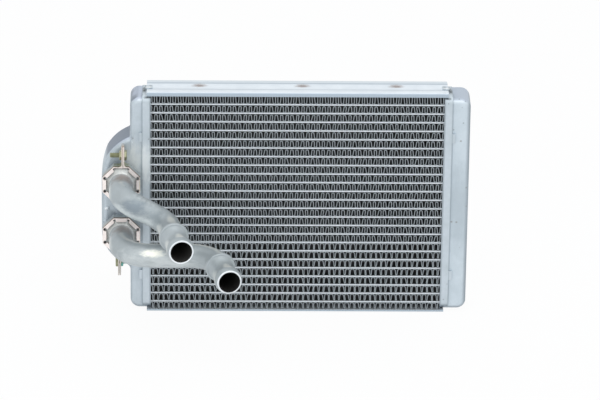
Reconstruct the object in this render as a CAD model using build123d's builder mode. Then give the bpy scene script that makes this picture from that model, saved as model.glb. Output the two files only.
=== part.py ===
from build123d import *
import math
import os

# Brazed aluminium heater core with two clamped hose pipes.
#
# Flat tubes and folded fins lie in rows between two header trays. A tank closes each
# tray, and the left tank bulges out to carry both ports. A baffle in it splits the
# tubes into an upper and a lower pass. Each pipe has a flange that a screwed clamp
# draws against the collar of its port, with a sealing ring between them.
#
# Frame: X runs along the tubes, -Y is the side of the pipes, +Z is up. The origin is
# the middle of the underside of the bottom side plate. Lengths are in millimetres.

# Core: rows of folded fin with a flat tube between each pair. The rows lie lower than
# halfway between the side plates, so the lowest strip is shorter and the highest taller.
CORE_WIDTH = 222.0
CORE_DEPTH = 28.0
FIN_ROWS = 25
FIN_INSET = 1.3
FIN_HEIGHT = 5.5
FIN_LEGS = 48
FIN_SHEET = 0.35
TUBE_INSET = 1.6
TUBE_HEIGHT = 1.5
TUBE_WALL = 0.35
TUBE_NOSE = 0.5
TUBE_NOSE_WALL = 0.9
TUBE_STAND = 1.0
ROW_DROP = 1.3

# Side plates: a folded sheet with two lands, a shallow channel and two lips.
PLATE_SHEET = 1.5
PLATE_RAISE = 1.1
PLATE_LIP = 1.5
PLATE_OVERHANG = 3.0
LAND_WIDTH = 7.0
CHANNEL_SLOPE = 2.5
LAND_EDGE = 0.9

# Header trays: slotted floor, wall all round, tongues at the ends, lock tabs.
HEADER_FLOOR = 1.5
HEADER_WALL = 1.5
HEADER_REACH = 6.3
TONGUE_WIDTH = 6.0
TONGUE_SHEET = 0.9
TONGUE_LAP = 4.5
TONGUE_GAP = 0.1
TAB_HEIGHT = 7.4
TAB_REACH = 2.4
TAB_CENTRES = (30.5, 142.5)

# Tanks.
BRAZE_GAP = 0.05
TUBE_END_GAP = 0.3
TANK_WALL = 1.5
TANK_EDGE = 3.8
TANK_CORNER = 7.0
CAVITY_EDGE = 1.2
LEFT_TANK_DEPTH = 9.2
RIGHT_TANK_DEPTH = 13.7
BULGE_DEPTH = 30.9
BULGE_ABOVE = 33.0
BULGE_BELOW = 31.9
BULGE_TOP_LAND = 0.4
BULGE_BOTTOM_LAND = 4.4
FLARE_TOP = 3.0
FLARE_BOTTOM = 5.0
BOSS_RADIUS = 1.6
BOSS_HEIGHT = 0.9
BOSS_FROM_SIDE = 4.4
BOSS_DROP = 3.7
BAFFLE_SHEET = 1.2

# Ports and their collars.
PORT_FROM_SIDE = 15.2
UPPER_PORT_Z = 108.5
LOWER_PORT_Z = 66.9
COLLAR_NECK = 10.6
NECK_LENGTH = 6.0
FLANGE_RADIUS = 13.0
FLANGE_LENGTH = 3.3
SPIGOT_GAP = 0.1
SPIGOT_LENGTH = 6.0
RING_WIDTH = 1.9
RING_DEPTH = 1.6

# Hose pipes: a bead stops the hose and a barb near the open end holds it. The reaches
# run from the middle of each pipe's flange face.
PIPE_RADIUS = 9.0
PIPE_WALL = 0.9
UPPER_BENDS = (16.0, 19.5)
LOWER_BENDS = (23.0, 23.0)
BEAD_RADIUS = 11.3
BEAD_LENGTH = 3.2
BEAD_ROUND = 1.3
BARB_RADIUS = 10.2
BARB_RAMP = 1.5
BARB_CREST = 2.0
BARB_TAPER = 4.5
RIM_RADIUS = 9.3
RIM_ROUND = 0.4
END_FROM_BEAD = 30.6
UPPER_RUN_REACH = 33.95
LOWER_RUN_REACH = 40.15
UPPER_BEAD_REACH = (40.3, -68.65, -15.0)
LOWER_BEAD_REACH = (75.0, -62.05, 0.0)
UPPER_STUB_ANGLE = 11.1
LOWER_STUB_ANGLE = 12.9

# Clamps: an eight-sided band with folded lips and two ears for the screw.
CLAMP_SIDES = 8
CLAMP_GAP = 0.4
CLAMP_SHEET = 0.9
CLAMP_LIP = 2.0
NOTCH_WIDTH = 1.7
NOTCH_INSET = 0.2
EAR_GAP = 0.3
UPPER_EAR_REACH = 30.6
LOWER_EAR_REACH = 32.4
EAR_ROOT = 2.2
UPPER_EAR_SHIFT = 1.3
LOWER_EAR_SHIFT = -1.6
SCREW_RADIUS = 2.0
SCREW_HOLE_GAP = 0.2
SCREW_REACH = 22.5
SCREW_LENGTH = 12.0
HEAD_ACROSS = 7.0
HEAD_LENGTH = 1.9
NUT_ACROSS = 6.6
NUT_LENGTH = 1.8

# Heights and reaches that follow from the sizes above.
PLATE_HEIGHT = PLATE_SHEET + PLATE_RAISE
ROW_PITCH = FIN_HEIGHT + TUBE_HEIGHT
STACK_BASE = PLATE_HEIGHT
STACK_TOP = STACK_BASE + FIN_ROWS * ROW_PITCH - TUBE_HEIGHT
FIRST_TUBE = STACK_BASE + FIN_HEIGHT - ROW_DROP
FIN_DEPTH = CORE_DEPTH - 2 * FIN_INSET
TUBE_DEPTH = CORE_DEPTH - 2 * TUBE_INSET
HALF_DEPTH = CORE_DEPTH / 2
HALF_WIDTH = CORE_WIDTH / 2
HEADER_OUT = HALF_WIDTH + HEADER_FLOOR
SEAM = HALF_WIDTH + HEADER_REACH
TANK_INSET = HEADER_WALL + BRAZE_GAP
TANK_SEAT = HEADER_OUT + TUBE_STAND + TUBE_END_GAP
TANK_HALF_DEPTH = HALF_DEPTH - TANK_INSET
TANK_BASE = STACK_BASE + TANK_INSET
TANK_TOP = STACK_TOP - TANK_INSET
PLATE_HALF = HALF_WIDTH + PLATE_OVERHANG
PASS_ROW = FIN_ROWS // 2
PASS_Z = FIRST_TUBE + PASS_ROW * ROW_PITCH - FIN_HEIGHT / 2
LEFT_TANK_OUT = SEAM + LEFT_TANK_DEPTH
RIGHT_TANK_OUT = SEAM + RIGHT_TANK_DEPTH
BULGE_OUT = SEAM + BULGE_DEPTH
BULGE_TOP = UPPER_PORT_Z + BULGE_ABOVE
BULGE_BOTTOM = LOWER_PORT_Z - BULGE_BELOW
BULGE_TOP_RADIUS = BULGE_OUT - TANK_SEAT - BULGE_TOP_LAND
BULGE_BOTTOM_RADIUS = BULGE_OUT - TANK_SEAT - BULGE_BOTTOM_LAND
PORT_X = PORT_FROM_SIDE - BULGE_OUT
COLLAR_BORE = PIPE_RADIUS + SPIGOT_GAP
COLLAR_BACK = TANK_HALF_DEPTH - TANK_WALL
FLANGE_BACK = TANK_HALF_DEPTH + NECK_LENGTH
FLANGE_JOINT = FLANGE_BACK + FLANGE_LENGTH
FLANGE_FRONT = FLANGE_JOINT + FLANGE_LENGTH
CLAMP_INNER = FLANGE_RADIUS + CLAMP_GAP
CLAMP_OUTER = CLAMP_INNER + CLAMP_SHEET
CLAMP_MOUTH = FLANGE_RADIUS - CLAMP_LIP + CLAMP_GAP
CLAMP_BACK = FLANGE_BACK - CLAMP_SHEET
CLAMP_WIDTH = 2 * (FLANGE_LENGTH + CLAMP_SHEET)
CLAMP_MIDDLE = CLAMP_BACK + CLAMP_WIDTH / 2
NOTCH_TURN = 180 / CLAMP_SIDES
EAR_HALF = CLAMP_SHEET + EAR_GAP / 2
BORE_RADIUS = PIPE_RADIUS - PIPE_WALL
SCREW_PLACES = (
    (PORT_X + UPPER_EAR_SHIFT, UPPER_PORT_Z + SCREW_REACH, 1),
    (PORT_X + LOWER_EAR_SHIFT, LOWER_PORT_Z - SCREW_REACH, -1),
)


def fin_strip(row):
    """Fold one fin strip: straight legs from the tube below to the tube above."""
    high = STACK_TOP if row == FIN_ROWS - 1 else FIRST_TUBE + row * ROW_PITCH
    low = max(STACK_BASE, FIRST_TUBE + row * ROW_PITCH - FIN_HEIGHT)
    leg = CORE_WIDTH / FIN_LEGS
    folds = [(i * leg - HALF_WIDTH, high if i % 2 else low + FIN_SHEET) for i in range(FIN_LEGS + 1)]
    backs = [(x, z - FIN_SHEET) for x, z in reversed(folds)]
    with BuildPart() as fin:
        with BuildSketch(Plane.XZ.offset(-FIN_DEPTH / 2)):
            with BuildLine():
                Polyline(*folds, *backs, close=True)
            make_face()
        extrude(amount=FIN_DEPTH)
    return fin


def bevelled_slot():
    """The outline shared by a flat tube and the header slot that it passes through."""
    side = TUBE_DEPTH / 2
    flat = side - TUBE_NOSE
    rise = TUBE_HEIGHT / 2
    with BuildSketch() as slot:
        with BuildLine():
            Polyline((-side, 0), (-flat, rise), (flat, rise), (side, 0), (flat, -rise), (-flat, -rise), close=True)
        make_face()
    return slot


def tube_places(first, last):
    """Places of the tubes above fin rows first to last, on the plane of their sections."""
    lowest = FIRST_TUBE + TUBE_HEIGHT / 2
    return [(0, lowest + row * ROW_PITCH) for row in range(first, last)]


def tube_pass(first, last):
    """The hollow flat tubes above fin rows first to last, each a solid of its own."""
    reach = HEADER_OUT + TUBE_STAND
    with BuildPart() as tubes:
        with BuildSketch(Plane.YZ.offset(-reach)):
            with Locations(*tube_places(first, last)):
                add(bevelled_slot().sketch)
                Rectangle(TUBE_DEPTH - 2 * TUBE_NOSE_WALL, TUBE_HEIGHT - 2 * TUBE_WALL, mode=Mode.SUBTRACT)
        extrude(amount=2 * reach)
    return tubes


def side_plate():
    """The top side plate: its channel rests on the fins and its lips fold down to them."""
    land = STACK_TOP + PLATE_HEIGHT
    bend = HALF_DEPTH - LAND_WIDTH
    channel = bend - CHANNEL_SLOPE
    lip = HALF_DEPTH - PLATE_LIP
    half = [
        (channel, STACK_TOP + PLATE_SHEET),
        (bend, land),
        (HALF_DEPTH, land),
        (HALF_DEPTH, STACK_TOP),
        (lip, STACK_TOP),
        (lip, STACK_TOP + PLATE_RAISE),
        (bend, STACK_TOP + PLATE_RAISE),
        (channel, STACK_TOP),
    ]
    other_half = [(-y, z) for y, z in reversed(half)]
    with BuildPart() as plate:
        with BuildSketch(Plane.YZ.offset(-PLATE_HALF)) as section:
            with BuildLine():
                Polyline(*half, *other_half, close=True)
            make_face()
            lands = section.vertices().group_by(Axis.Y)[-1].sort_by(Axis.X)
            fillet((lands[0], lands[-1]), LAND_EDGE)
        extrude(amount=2 * PLATE_HALF)
    return plate


def header_tray():
    """The right header: a slotted tray with lock tabs and a tongue at each end."""
    middle = (STACK_BASE + STACK_TOP) / 2
    length = STACK_TOP - STACK_BASE
    inside = PLATE_HALF + TONGUE_GAP
    outside = inside + TONGUE_SHEET
    tab_y = HALF_DEPTH - HEADER_WALL / 2
    with BuildPart() as header:
        with BuildSketch(Plane.YZ.offset(HALF_WIDTH)):
            with Locations((0, middle)):
                RectangleRounded(CORE_DEPTH, length, TANK_EDGE + TANK_INSET)
        extrude(amount=HEADER_REACH)
        with BuildSketch(Plane.YZ.offset(HEADER_OUT)):
            with Locations((0, middle)):
                RectangleRounded(CORE_DEPTH - 2 * HEADER_WALL, length - 2 * HEADER_WALL, TANK_EDGE + BRAZE_GAP)
        extrude(amount=HEADER_REACH, mode=Mode.SUBTRACT)
        with BuildSketch(Plane.YZ.offset(HALF_WIDTH)):
            with Locations(*tube_places(0, FIN_ROWS - 1)):
                add(bevelled_slot().sketch)
        extrude(amount=HEADER_FLOOR, mode=Mode.SUBTRACT)
        with BuildSketch(Plane.YZ.offset(SEAM)):
            with Locations(*[(side * tab_y, height) for side in (-1, 1) for height in TAB_CENTRES]):
                Rectangle(HEADER_WALL, TAB_HEIGHT)
        extrude(amount=TAB_REACH)
        with BuildSketch(Plane.XZ.offset(-TONGUE_WIDTH / 2)):
            for side in (-1, 1):
                foot = middle + side * length / 2
                seat = foot + side * PLATE_SHEET
                tip = seat + side * TONGUE_SHEET
                with BuildLine():
                    Polyline(
                        (inside, foot),
                        (inside, seat),
                        (inside - TONGUE_LAP, seat),
                        (inside - TONGUE_LAP, tip),
                        (outside, tip),
                        (outside, foot),
                        close=True,
                    )
                make_face()
        extrude(amount=TONGUE_WIDTH)
    return header


def tank_front(side, out, inset):
    """Draw a tank's front in the open sketch, shrunk by inset on its closed sides."""
    width = out - inset - TANK_SEAT
    height = TANK_TOP - TANK_BASE - 2 * inset
    with Locations((side * (TANK_SEAT + width / 2), (TANK_BASE + TANK_TOP) / 2)):
        Rectangle(width, height)


def right_front(inset):
    """The right tank's front, a plain strip with rounded outer corners."""
    with BuildSketch(Plane.XZ.offset(inset - TANK_HALF_DEPTH)) as front:
        tank_front(1, RIGHT_TANK_OUT, inset)
        fillet(front.vertices().group_by(Axis.X)[-1], TANK_CORNER - inset)
    return front


def wall_corners(front, wall):
    """The corners of an open sketch that lie on the line x = wall, lowest first."""
    return front.vertices().filter_by(lambda corner: abs(corner.X - wall) < BRAZE_GAP).sort_by(Axis.Y)


def left_front(inset):
    """The left tank's front, with the bulge that carries the ports."""
    width = BULGE_OUT - TANK_SEAT - inset
    height = BULGE_TOP - BULGE_BOTTOM - 2 * inset
    wall = inset - LEFT_TANK_OUT
    with BuildSketch(Plane.XZ.offset(inset - TANK_HALF_DEPTH)) as front:
        with Locations((-TANK_SEAT - width / 2, (BULGE_BOTTOM + BULGE_TOP) / 2)):
            Rectangle(width, height)
        fillet(front.vertices().group_by(Axis.X)[0].sort_by(Axis.Y)[-1], BULGE_TOP_RADIUS - inset)
        fillet(front.vertices().group_by(Axis.X)[0].sort_by(Axis.Y)[0], BULGE_BOTTOM_RADIUS - inset)
        tank_front(-1, LEFT_TANK_OUT, inset)
        fillet(wall_corners(front, wall)[1], FLARE_BOTTOM + inset)
        fillet(wall_corners(front, wall)[-2], FLARE_TOP + inset)
        fillet((wall_corners(front, wall)[0], wall_corners(front, wall)[-1]), TANK_CORNER - inset)
    return front


def outer_edges(block):
    """The front and rear edges of a tank block, without those at the header."""
    faces = block.faces().sort_by(Axis.Y)
    edges = faces[0].edges() + faces[-1].edges()
    return edges.filter_by(lambda edge: abs(edge.center().X) > TANK_SEAT + BRAZE_GAP)


def tank_shell(front):
    """A tank with rounded edges, hollow and open towards the header."""
    with BuildPart() as cavity:
        extrude(front(TANK_WALL).sketch, amount=2 * COLLAR_BACK, dir=(0, -1, 0))
        chamfer(outer_edges(cavity), CAVITY_EDGE)
    with BuildPart() as tank:
        extrude(front(0).sketch, amount=2 * TANK_HALF_DEPTH, dir=(0, -1, 0))
        fillet(outer_edges(tank), TANK_EDGE)
        add(cavity.part, mode=Mode.SUBTRACT)
    return tank


def left_tank_shell():
    """The left tank: two holes for the collars and a small round boss beside them."""
    boss = (BOSS_FROM_SIDE - BULGE_OUT, (UPPER_PORT_Z + LOWER_PORT_Z) / 2 - BOSS_DROP)
    with BuildPart() as tank:
        add(tank_shell(left_front).part)
        with BuildSketch(Plane.XZ.offset(COLLAR_BACK)):
            with Locations((PORT_X, UPPER_PORT_Z), (PORT_X, LOWER_PORT_Z)):
                Circle(COLLAR_NECK)
        extrude(amount=TANK_WALL, mode=Mode.SUBTRACT)
        with BuildSketch(Plane.XZ.offset(TANK_HALF_DEPTH - TANK_WALL / 2)):
            with Locations(boss):
                Circle(BOSS_RADIUS)
        extrude(amount=TANK_WALL / 2 + BOSS_HEIGHT)
    return tank


def port_collar(port_z):
    """A turned collar brazed into the tank, with the flange that the clamp grips."""
    profile = [
        (COLLAR_BORE, COLLAR_BACK),
        (COLLAR_NECK, COLLAR_BACK),
        (COLLAR_NECK, FLANGE_BACK),
        (FLANGE_RADIUS, FLANGE_BACK),
        (FLANGE_RADIUS, FLANGE_JOINT),
        (COLLAR_BORE + RING_WIDTH, FLANGE_JOINT),
        (COLLAR_BORE + RING_WIDTH, FLANGE_JOINT - RING_DEPTH),
        (COLLAR_BORE, FLANGE_JOINT - RING_DEPTH),
    ]
    with BuildPart() as collar:
        with BuildSketch(Plane.XY.offset(port_z)):
            with BuildLine():
                Polyline(*[(PORT_X + radius, -reach) for radius, reach in profile], close=True)
            make_face()
        revolve(axis=Axis((PORT_X, 0, port_z), (0, 1, 0)))
    return collar


def seal_rings():
    """The two sealing rings, each in the counterbore of its collar."""
    with BuildPart() as rings:
        with BuildSketch(Plane.XZ.offset(FLANGE_JOINT - RING_DEPTH)):
            with Locations((PORT_X, UPPER_PORT_Z), (PORT_X, LOWER_PORT_Z)):
                Circle(COLLAR_BORE + RING_WIDTH)
                Circle(COLLAR_BORE, mode=Mode.SUBTRACT)
        extrude(amount=RING_DEPTH)
    return rings


def stub_rings(plane):
    """The section of a stub's bead and barb, on a plane through its axis."""
    root = PIPE_RADIUS - PIPE_WALL / 2
    taper = END_FROM_BEAD - BARB_TAPER
    crest = taper - BARB_CREST
    with BuildSketch(plane) as rings:
        with Locations((0, (root + BEAD_RADIUS) / 2)):
            Rectangle(BEAD_LENGTH, BEAD_RADIUS - root)
        fillet(rings.vertices().group_by(Axis.Y)[-1], BEAD_ROUND)
        with BuildLine():
            Polyline(
                (crest - BARB_RAMP, root),
                (crest - BARB_RAMP, PIPE_RADIUS),
                (crest, BARB_RADIUS),
                (taper, BARB_RADIUS),
                (END_FROM_BEAD - RIM_ROUND, RIM_RADIUS),
                (END_FROM_BEAD, RIM_RADIUS - RIM_ROUND),
                (END_FROM_BEAD, root),
                close=True,
            )
        make_face()
    return rings


def hose_pipe(port_z, run_reach, bends, bead_reach, angle):
    """A bent pipe with a flange at the port, a bead and a barb for the hose."""
    ahead = Vector(math.sin(math.radians(angle)), -math.cos(math.radians(angle)), 0)
    run_y = -FLANGE_FRONT - run_reach
    bead_centre = Vector(PORT_X, -FLANGE_FRONT, port_z) + Vector(*bead_reach)
    corner = bead_centre + ahead * ((run_y - bead_centre.Y) / ahead.Y)
    end = bead_centre + ahead * END_FROM_BEAD
    root = Vector(PORT_X, SPIGOT_LENGTH - FLANGE_JOINT, port_z)
    turn = Vector(PORT_X, run_y, port_z)
    with BuildPart() as pipe:
        with BuildLine() as route:
            FilletPolyline(root, turn, corner, end, radius=bends)
        with BuildSketch(Plane(origin=root, z_dir=(0, -1, 0))):
            Circle(PIPE_RADIUS)
        sweep(path=route.line)
        with BuildSketch(Plane.XZ.offset(FLANGE_JOINT)):
            with Locations((PORT_X, port_z)):
                Circle(FLANGE_RADIUS)
        extrude(amount=FLANGE_LENGTH)
        rings = stub_rings(Plane(origin=bead_centre, x_dir=ahead, z_dir=(0, 0, 1)))
        revolve(rings.sketch, axis=Axis(bead_centre, ahead))
        with BuildSketch(Plane(origin=root, z_dir=(0, -1, 0))):
            Circle(BORE_RADIUS)
        sweep(path=route.line, mode=Mode.SUBTRACT)
    return pipe


def clamp_band(port_z, shift, reach, side):
    """A folded clamp band round both flanges, its ears up (side 1) or down (side -1)."""
    port = (PORT_X, port_z)
    ear_x = PORT_X + shift
    ear_z = port_z + side * (CLAMP_INNER + reach) / 2
    corner = CLAMP_INNER / math.cos(math.radians(NOTCH_TURN))
    facet = 2 * CLAMP_INNER * math.tan(math.radians(NOTCH_TURN))
    root = (ear_x, -CLAMP_MIDDLE, port_z + side * CLAMP_OUTER)
    with BuildPart() as band:
        with BuildSketch(Plane.XZ.offset(CLAMP_BACK)):
            with Locations(port):
                RegularPolygon(CLAMP_OUTER, CLAMP_SIDES, major_radius=False, rotation=NOTCH_TURN)
            with Locations((ear_x, ear_z)):
                Rectangle(2 * EAR_HALF, reach - CLAMP_INNER)
        extrude(amount=CLAMP_WIDTH)
        fillet(band.edges().filter_by(Axis.Y).sort_by_distance(root)[:2], EAR_ROOT)
        with BuildSketch(Plane.XZ.offset(FLANGE_BACK)):
            with Locations(port):
                RegularPolygon(CLAMP_INNER, CLAMP_SIDES, major_radius=False, rotation=NOTCH_TURN)
        extrude(amount=2 * FLANGE_LENGTH, mode=Mode.SUBTRACT)
        with BuildSketch(Plane.XZ.offset(CLAMP_BACK)):
            with Locations(port):
                RegularPolygon(CLAMP_MOUTH, CLAMP_SIDES, major_radius=False, rotation=NOTCH_TURN)
                with PolarLocations((CLAMP_MOUTH + corner - NOTCH_INSET) / 2, CLAMP_SIDES, start_angle=NOTCH_TURN):
                    Rectangle(corner - NOTCH_INSET - CLAMP_MOUTH, NOTCH_WIDTH)
            with Locations((PORT_X, port_z + side * CLAMP_INNER / 2)):
                Rectangle(facet, CLAMP_INNER)
            with Locations((ear_x, port_z + side * reach / 2)):
                Rectangle(EAR_GAP, reach)
        extrude(amount=CLAMP_WIDTH, mode=Mode.SUBTRACT)
        with BuildSketch(Plane.YZ.offset(ear_x)):
            with Locations((-CLAMP_MIDDLE, port_z + side * SCREW_REACH)):
                Circle(SCREW_RADIUS + SCREW_HOLE_GAP)
        extrude(amount=2 * EAR_HALF, both=True, mode=Mode.SUBTRACT)
    return band


def clamp_screws():
    """The two hexagon screws, each through both ears of its clamp, put in from opposite sides."""
    with BuildPart() as screws:
        for ear_x, screw_z, head in SCREW_PLACES:
            with BuildSketch(Plane.YZ.offset(ear_x + head * EAR_HALF)):
                with Locations((-CLAMP_MIDDLE, screw_z)):
                    RegularPolygon(HEAD_ACROSS / 2, 6, major_radius=False)
            extrude(amount=head * HEAD_LENGTH)
            with BuildSketch(Plane.YZ.offset(ear_x + head * EAR_HALF)):
                with Locations((-CLAMP_MIDDLE, screw_z)):
                    Circle(SCREW_RADIUS)
            extrude(amount=-head * SCREW_LENGTH)
    return screws


def clamp_nuts():
    """The two thin nuts, each against the ears on the thread's side."""
    with BuildPart() as nuts:
        for ear_x, screw_z, head in SCREW_PLACES:
            with BuildSketch(Plane.YZ.offset(ear_x - head * EAR_HALF)):
                with Locations((-CLAMP_MIDDLE, screw_z)):
                    RegularPolygon(NUT_ACROSS / 2, 6, major_radius=False)
                    Circle(SCREW_RADIUS, mode=Mode.SUBTRACT)
            extrude(amount=-head * NUT_LENGTH)
    return nuts


def pass_baffle():
    """The plate that splits the left tank between the two ports."""
    reach = BULGE_OUT - TANK_WALL
    with BuildPart() as baffle:
        with BuildSketch(Plane.XY.offset(PASS_Z - BAFFLE_SHEET / 2)) as outline:
            with Locations((-(TANK_SEAT + reach) / 2, 0)):
                Rectangle(reach - TANK_SEAT, 2 * COLLAR_BACK)
            chamfer(outline.vertices().group_by(Axis.X)[0], CAVITY_EDGE)
        extrude(amount=BAFFLE_SHEET)
    return baffle


def write_node(piece, label):
    """Label a finished piece and write it as its own STEP file."""
    piece.part.label = label
    export_step(piece.part, f"parts/{label}.step")


def main():
    """Build every piece in its place and write it."""
    os.makedirs("parts", exist_ok=True)
    core_middle = (STACK_BASE + STACK_TOP) / 2
    top_plate = side_plate()
    with BuildPart() as bottom_plate:
        mirror(top_plate.part, about=Plane.XY.offset(core_middle))
    right_header = header_tray()
    with BuildPart() as left_header:
        mirror(right_header.part, about=Plane.YZ)
    pieces = {f"fin_{row + 1:02d}": fin_strip(row) for row in range(FIN_ROWS)}
    pieces["lower_pass_tubes"] = tube_pass(0, PASS_ROW)
    pieces["upper_pass_tubes"] = tube_pass(PASS_ROW, FIN_ROWS - 1)
    pieces["top_side_plate"] = top_plate
    pieces["bottom_side_plate"] = bottom_plate
    pieces["right_header"] = right_header
    pieces["left_header"] = left_header
    pieces["right_tank"] = tank_shell(right_front)
    pieces["left_tank"] = left_tank_shell()
    pieces["pass_baffle"] = pass_baffle()
    pieces["upper_port_collar"] = port_collar(UPPER_PORT_Z)
    pieces["lower_port_collar"] = port_collar(LOWER_PORT_Z)
    pieces["port_seals"] = seal_rings()
    pieces["upper_pipe"] = hose_pipe(
        UPPER_PORT_Z, UPPER_RUN_REACH, UPPER_BENDS, UPPER_BEAD_REACH, UPPER_STUB_ANGLE
    )
    pieces["lower_pipe"] = hose_pipe(
        LOWER_PORT_Z, LOWER_RUN_REACH, LOWER_BENDS, LOWER_BEAD_REACH, LOWER_STUB_ANGLE
    )
    pieces["upper_clamp"] = clamp_band(UPPER_PORT_Z, UPPER_EAR_SHIFT, UPPER_EAR_REACH, 1)
    pieces["lower_clamp"] = clamp_band(LOWER_PORT_Z, LOWER_EAR_SHIFT, LOWER_EAR_REACH, -1)
    pieces["clamp_screws"] = clamp_screws()
    pieces["clamp_nuts"] = clamp_nuts()
    for label, piece in pieces.items():
        write_node(piece, label)


if __name__ == "__main__":
    main()
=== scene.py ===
"""Heater core: folded fins and flat tubes between two tanks, with two clamped hose pipes.

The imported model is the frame, and every piece here stands where its node stands. X runs
along the tubes, -Y is the side of the pipes and +Z is up. Sizes in the classes are in
millimetres, and meshes are in metres.
"""
import logging
import math
import random
from dataclasses import dataclass
from enum import Enum
from itertools import product
from typing import Dict, List, Optional, Sequence, Tuple, Union

import bmesh
import bpy
from mathutils import Matrix, Vector


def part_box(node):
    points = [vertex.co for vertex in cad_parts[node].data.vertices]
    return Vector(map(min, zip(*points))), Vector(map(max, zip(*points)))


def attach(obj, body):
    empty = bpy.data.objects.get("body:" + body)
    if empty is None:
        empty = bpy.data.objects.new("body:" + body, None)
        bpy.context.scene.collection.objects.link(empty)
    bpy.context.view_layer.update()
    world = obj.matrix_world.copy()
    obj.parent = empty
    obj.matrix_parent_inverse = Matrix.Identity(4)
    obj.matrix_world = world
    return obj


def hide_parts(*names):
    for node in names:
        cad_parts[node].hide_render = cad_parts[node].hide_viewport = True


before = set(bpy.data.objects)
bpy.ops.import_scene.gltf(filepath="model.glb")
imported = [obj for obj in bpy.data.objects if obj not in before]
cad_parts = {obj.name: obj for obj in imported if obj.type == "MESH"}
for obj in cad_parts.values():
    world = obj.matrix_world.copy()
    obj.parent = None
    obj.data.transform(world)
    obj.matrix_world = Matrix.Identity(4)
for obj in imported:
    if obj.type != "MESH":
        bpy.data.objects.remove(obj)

log = logging.getLogger("heater_core")

Point = Tuple[float, float, float]
Pair = Tuple[float, float]
Rgba = Tuple[float, float, float, float]
Material = bpy.types.Material
Shape = bmesh.types.BMesh
Tree = bpy.types.NodeTree
Socket = bpy.types.NodeSocket

MM = 0.001
SIDES = (-1, 1)
ACROSS_X, ACROSS_Y = 0, 1
# The ports' place along X, and the heights of the upper and the lower one.
PORT_X = -133.0
PORT_HEIGHTS = (108.5, 66.9)
# Edges that turn by more than the first are sharp, and those below the second are flat.
SHARP_DEG = 35.0
FLAT_DEG = 1.0
# Corners nearer to each other than this, in millimetres, are one.
WELD = 0.002
# The front lips' free edges lie before the first, within the second of their height.
LIP_FRONT = -12.0
LIP_BAND = 0.3
# The noise ranges for patches and for roughness, how far roughness swings, and the grain's depth.
CLOUD_RANGE = (0.35, 0.68)
GRAIN_RANGE = (0.3, 0.7)
ROUGH_SPREAD = 0.07
BUMP_DEPTH = 0.05
# A speck's full core, as a share of its width, and its strength there.
SPECK_CORE = 0.4
SPECK_STRENGTH = 0.55
# Painted shade on what looks down: the strength, and where it starts and is full.
UNDERSIDE_SHADE = (1.0, 0.05, 0.6)
# How ragged a stain's edge is, and where it starts and is full, in its radii.
STAIN_RAG = 1.1
STAIN_EDGE = (1.5, 0.75)


def linear(colour: str) -> Rgba:
    """Turn an sRGB hex colour to linear values.

    Args:
        colour: Six hex digits after a hash sign.

    Returns:
        Red, green, blue and an alpha of 1.
    """
    parts = [int(colour[i : i + 2], 16) / 255 for i in (1, 3, 5)]
    red, green, blue = (c / 12.92 if c <= 0.04045 else ((c + 0.055) / 1.055) ** 2.4 for c in parts)
    return red, green, blue, 1.0


def empty_tree(owner: Union[Material, bpy.types.World]) -> Tree:
    """Give a material or a world a node tree with nothing in it.

    Args:
        owner: The material or the world.

    Returns:
        The node tree.
    """
    owner.use_nodes = True
    owner.node_tree.nodes.clear()
    return owner.node_tree


def add_node(
    tree: Tree, kind: str, inputs: Optional[Dict[object, object]] = None, **settings: object
) -> bpy.types.Node:
    """Add one node with its settings, values and links.

    Args:
        tree: The node tree.
        kind: The node's type name after ShaderNode.
        inputs: A value, or the socket that it is linked to, for each input by its name or index.
        **settings: Properties of the node itself.

    Returns:
        The new node.
    """
    node = tree.nodes.new("ShaderNode" + kind)
    for name, value in settings.items():
        setattr(node, name, value)
    for name, value in (inputs or {}).items():
        if isinstance(value, Socket):
            tree.links.new(value, node.inputs[name])
        else:
            node.inputs[name].default_value = value
    return node


def tinted(
    tree: Tree, colour: Socket, tone: str, strength: float, value: Socket, start: float, full: float
) -> Socket:
    """Lay a tone over a colour, more of it as a value goes through a range.

    Args:
        tree: The node tree.
        colour: The colour below.
        tone: The tone on top.
        strength: The share of the tone where it is full.
        value: The value.
        start: Where the tone starts.
        full: Where it is full.

    Returns:
        The toned colour.
    """
    share = add_node(
        tree,
        "MapRange",
        {"Value": value, "From Min": start, "From Max": full, "To Max": strength},
        interpolation_type="SMOOTHSTEP",
    ).outputs["Result"]
    return add_node(tree, "Mix", {0: share, 6: colour, 7: linear(tone)}, data_type="RGBA").outputs[2]


def grained(tree: Tree, colour: object, metallic: float, roughness: object, grain: Socket, bump: float) -> None:
    """End a material's tree with its grained surface.

    Args:
        tree: The node tree.
        colour: The base colour.
        metallic: How metallic it is.
        roughness: Its roughness.
        grain: The height of its grain.
        bump: How strong the grain is.
    """
    raised = add_node(tree, "Bump", {"Height": grain, "Strength": bump, "Distance": BUMP_DEPTH * MM})
    inputs = {"Base Color": colour, "Metallic": metallic, "Roughness": roughness, "Normal": raised.outputs["Normal"]}
    surface = add_node(tree, "BsdfPrincipled", inputs).outputs["BSDF"]
    add_node(tree, "OutputMaterial", {"Surface": surface})


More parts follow.
